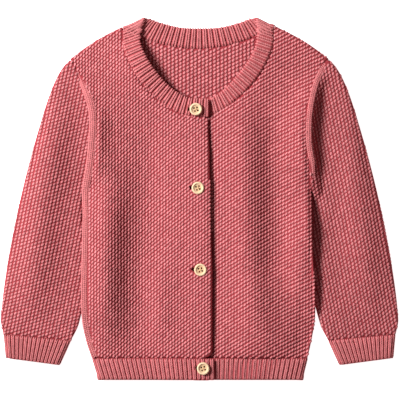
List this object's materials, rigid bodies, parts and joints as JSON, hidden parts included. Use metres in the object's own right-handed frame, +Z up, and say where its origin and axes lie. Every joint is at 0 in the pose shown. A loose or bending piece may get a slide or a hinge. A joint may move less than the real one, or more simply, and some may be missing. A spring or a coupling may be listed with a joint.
{
  "type": "baby cardigan",
  "caption": "Knitted baby cardigan laid flat, in moss stitch with ribbed neckband, hem and cuffs, fastened down the front with round wooden buttons.",
  "frame": {"origin": "on the surface it lies on, under the middle of its box", "axes": "+Z up from the surface, +X towards the wearer's left sleeve, +Y from the hem to the neck"},
  "size_m": [0.3632, 0.3288, 0.0141],
  "materials": {
    "knit": "matte cotton yarn in moss stitch, dusty rose",
    "rib": "matte cotton yarn in rib, dusty rose",
    "button": "pale turned wood, satin",
    "thread": "matte sewing thread, rose"
  },
  "bodies": {
    "root": {"back": "knit", "front_right": "knit", "front_left": "knit", "sleeve_right": "knit", "sleeve_left": "knit", "cuff_right": "rib", "cuff_left": "rib", "hem_back": "rib", "hem_front_right": "rib", "hem_front_left": "rib", "neckband": "rib", "button_1": "button", "button_2": "button", "button_3": "button", "button_4": "button", "thread_1": "thread", "thread_2": "thread", "thread_3": "thread", "thread_4": "thread"}
  },
  "joints": []
}
